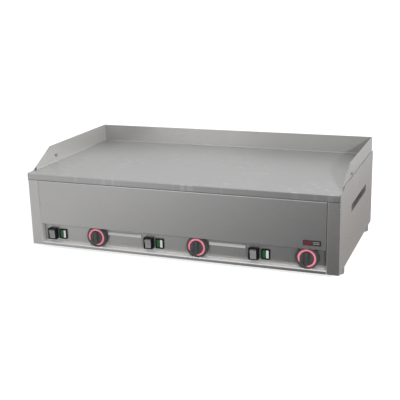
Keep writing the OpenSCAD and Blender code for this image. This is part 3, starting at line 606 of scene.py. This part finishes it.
def knob_profile():
    """Section of a knob: shaft bore, boss, hollow back, skirt, bevel, ring groove and dished middle."""
    hollow = KNOB_R - KNOB_WALL
    return [
        (0, SHAFT_TOP), (SHAFT_R, SHAFT_TOP), (SHAFT_R, 0.4), (SHAFT_R + 0.4, 0.0),
        (BOSS_R - 0.4, 0.0), (BOSS_R, 0.4), (BOSS_R, HOLLOW_TOP),
        (hollow - 0.2, HOLLOW_TOP), (hollow, HOLLOW_TOP - 0.2), (hollow, 0.4), (hollow + 0.3, 0.0),
        (KNOB_R - 0.4, 0.0), (KNOB_R, 0.4), (KNOB_R, KNOB_SKIRT_TOP), (KNOB_R - 0.15, KNOB_SKIRT_TOP + 0.5),
        (KNOB_FACE_R + 0.2, KNOB_BEVEL_LOW), (KNOB_FACE_R, KNOB_BEVEL_LOW + 0.5),
        (KNOB_FACE_R, KNOB_BEVEL_TOP),
        (KNOB_FACE_R - 0.2, KNOB_FACE - 0.2), (KNOB_FACE_R - 0.6, KNOB_FACE),
        (RING_OUT + 0.3, KNOB_FACE), (RING_OUT + 0.08, KNOB_FACE - 0.2),
        (RING_OUT, RING_FLOOR), (RING_IN, RING_FLOOR),
        (RING_IN - 0.08, KNOB_FACE - 0.2), (RING_IN - 0.3, KNOB_FACE), (RING_IN - 0.6, KNOB_FACE - 0.05),
        (RING_IN - 0.85, DISH + 0.6), (RING_IN - 1.2, DISH + 0.1), (RING_IN - 1.8, DISH), (0, DISH),
    ]


def ring_row(bm, put, share):
    """One cross-section of a knob's open ring; share runs from 0 at its first end to 1 at its last."""
    angle = math.radians(RING_FIRST + (RING_LAST - RING_FIRST) * share)
    from_end = min(1.0, min(share, 1 - share) / RING_TAPER)
    half = (RING_OUT - RING_IN) / 2 * (RING_TIP + (1 - RING_TIP) * math.sin(from_end * math.pi / 2))
    row = []
    for side, height in RING_SECTION:
        r = (RING_OUT + RING_IN) / 2 + side * half
        row.append(bm.verts.new(put(r * math.cos(angle), r * math.sin(angle), RING_FLOOR + height)))
    return row


def build_knob(i):
    """Knob number i with its grip bar, and the coloured open ring let into its face."""
    low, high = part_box(f"knob_{i}")
    middle = node_middle(f"knob_{i}")

    def put(u, v, w):
        return front_point((middle.x, middle.z), high[1], u, v, w)

    bm = bmesh.new()
    lathe(bm, put, knob_profile())
    loft(bm, put, [
        (height, grip_outline(GRIP_HALF_W - inset, GRIP_HALF_LEN - inset, waist))
        for height, inset, waist in GRIP_LEVELS
    ])
    knob = new_piece(f"knob_{i}_moulding", bm, f"knob_{i}")
    round_edges(knob, KNOB_EDGE, angle=KNOB_EDGE_ANGLE)

    bm = bmesh.new()
    sections = [ring_row(bm, put, k / RING_STEPS) for k in range(RING_STEPS + 1)]
    for a, b in zip(sections, sections[1:]):
        for p in range(len(a) - 1):
            bm.faces.new((a[p], a[p + 1], b[p + 1], b[p]))
    bm.faces.new(sections[0])
    bm.faces.new(list(reversed(sections[-1])))
    bmesh.ops.recalc_face_normals(bm, faces=bm.faces)
    new_piece(f"knob_ring_{i}_inlay", bm, f"knob_ring_{i}")


for i in (1, 2, 3):
    build_knob(i)

# Rubber feet: ribbed cups with a rounded rim, in millimetres
FOOT_R = 15.0
FOOT_H = 25.0
FOOT_STEPS = 48
FOOT_PROFILE = (
    (0, 6.0), (3.2, 6.0), (3.6, 5.6), (5.6, 1.2), (6.2, 0.3), (7.0, 0.0),
    (13.4, 0.0), (14.1, 0.25), (14.5, 0.9), (14.6, 3.2), (14.4, 3.8), (14.4, 4.6), (14.7, 5.2),
    (14.8, 21.5), (FOOT_R, 22.3), (FOOT_R, FOOT_H - 0.6), (14.8, FOOT_H - 0.1), (14.4, FOOT_H),
    (4.05, FOOT_H), (4.05, 10.0), (0, 10.0),
)


def build_feet():
    bm = bmesh.new()
    low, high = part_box("rubber_feet")
    for cx in (low[0] + FOOT_R * MM, high[0] - FOOT_R * MM):
        for cy in (low[1] + FOOT_R * MM, high[1] - FOOT_R * MM):
            lathe(bm, lambda u, v, w: (cx + u * MM, cy + v * MM, w * MM), FOOT_PROFILE, FOOT_STEPS)
    bmesh.ops.recalc_face_normals(bm, faces=bm.faces)
    new_piece("rubber_feet_moulding", bm, "rubber_feet")


build_feet()

# Badge: a dark plate with a plain dark red field, two grey bars beside it and no lettering


def box_outline(half_w, half_h, r, steps=6):
    """Outline of a rectangle with round corners."""
    points = []
    for quarter, (sx, sy) in enumerate(((1, 1), (-1, 1), (-1, -1), (1, -1))):
        for k in range(steps + 1):
            a = math.pi / 2 * (quarter + k / steps)
            points.append((sx * (half_w - r) + r * math.cos(a), sy * (half_h - r) + r * math.sin(a)))
    return points


BADGE_HALF_W = 26.0
BADGE_HALF_H = 7.75
BADGE_CORNER = 2.5
# Height above the sheet and how far the outline is drawn in
BADGE_LEVELS = ((0.0, 0.0), (0.5, 0.0), (0.7, 0.2), (0.78, 0.6))
PRINT_LOW, PRINT_TOP = 0.70, 0.80
FIELD_U, FIELD_HALF_W, FIELD_HALF_H, FIELD_CORNER = -12.6, 11.2, 5.7, 1.2
BAR_U, BAR_V, BAR_HALF_W, BAR_HALF_H, BAR_CORNER = 12.2, 2.4, 9.5, 0.8, 0.5
red_field = moulded("badge_red", (0.055, 0.010, 0.016), 0.3, 1.2)
pale_line = moulded("badge_line", (0.17, 0.165, 0.16), 0.35, 1.1)


def badge_piece(name, shapes, look=None):
    """A part of the badge; shapes are (shift to the right, shift up, levels)."""
    low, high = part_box("badge")
    middle = node_middle("badge")
    bm = bmesh.new()
    for right, up, levels in shapes:
        def put(u, v, w):
            return front_point((middle.x, middle.z), high[1], u + right, v + up, w)

        loft(bm, put, levels)
    bmesh.ops.recalc_face_normals(bm, faces=bm.faces)
    new_piece(name, bm, "badge", look, smooth=look is None)


def printed(half_w, half_h, corner):
    """Levels of a flat printed field on the badge."""
    outline = box_outline(half_w, half_h, corner)
    return [(PRINT_LOW, outline), (PRINT_TOP, outline)]


badge_piece("badge_plate", [(0, 0, [
    (height, box_outline(BADGE_HALF_W - inset, BADGE_HALF_H - inset, BADGE_CORNER - inset))
    for height, inset in BADGE_LEVELS
])])
badge_piece("badge_field", [(FIELD_U, 0, printed(FIELD_HALF_W, FIELD_HALF_H, FIELD_CORNER))], red_field)
bar = printed(BAR_HALF_W, BAR_HALF_H, BAR_CORNER)
badge_piece("badge_lines", [(BAR_U, BAR_V, bar), (BAR_U, -BAR_V, bar)], pale_line)

# ---------------------------------------------------------------- floor

FLOOR_HALF = 45
FLOOR_GREY = 0.55
FLOOR_GLOW = 0.62

bm = bmesh.new()
bmesh.ops.create_grid(bm, x_segments=2, y_segments=2, size=FLOOR_HALF)
mesh = bpy.data.meshes.new("floor")
bm.to_mesh(mesh)
bm.free()
floor = bpy.data.objects.new("floor", mesh)
floor_look = Shader("floor_paint", (FLOOR_GREY,) * 3, 0.0, 0.9)
floor_look.bsdf.inputs["Emission Color"].default_value = (1, 1, 1, 1)
floor_look.bsdf.inputs["Emission Strength"].default_value = FLOOR_GLOW
floor_look.bsdf.inputs["Specular IOR Level"].default_value = 0.1
mesh.materials.append(floor_look.mat)
scene.collection.objects.link(floor)
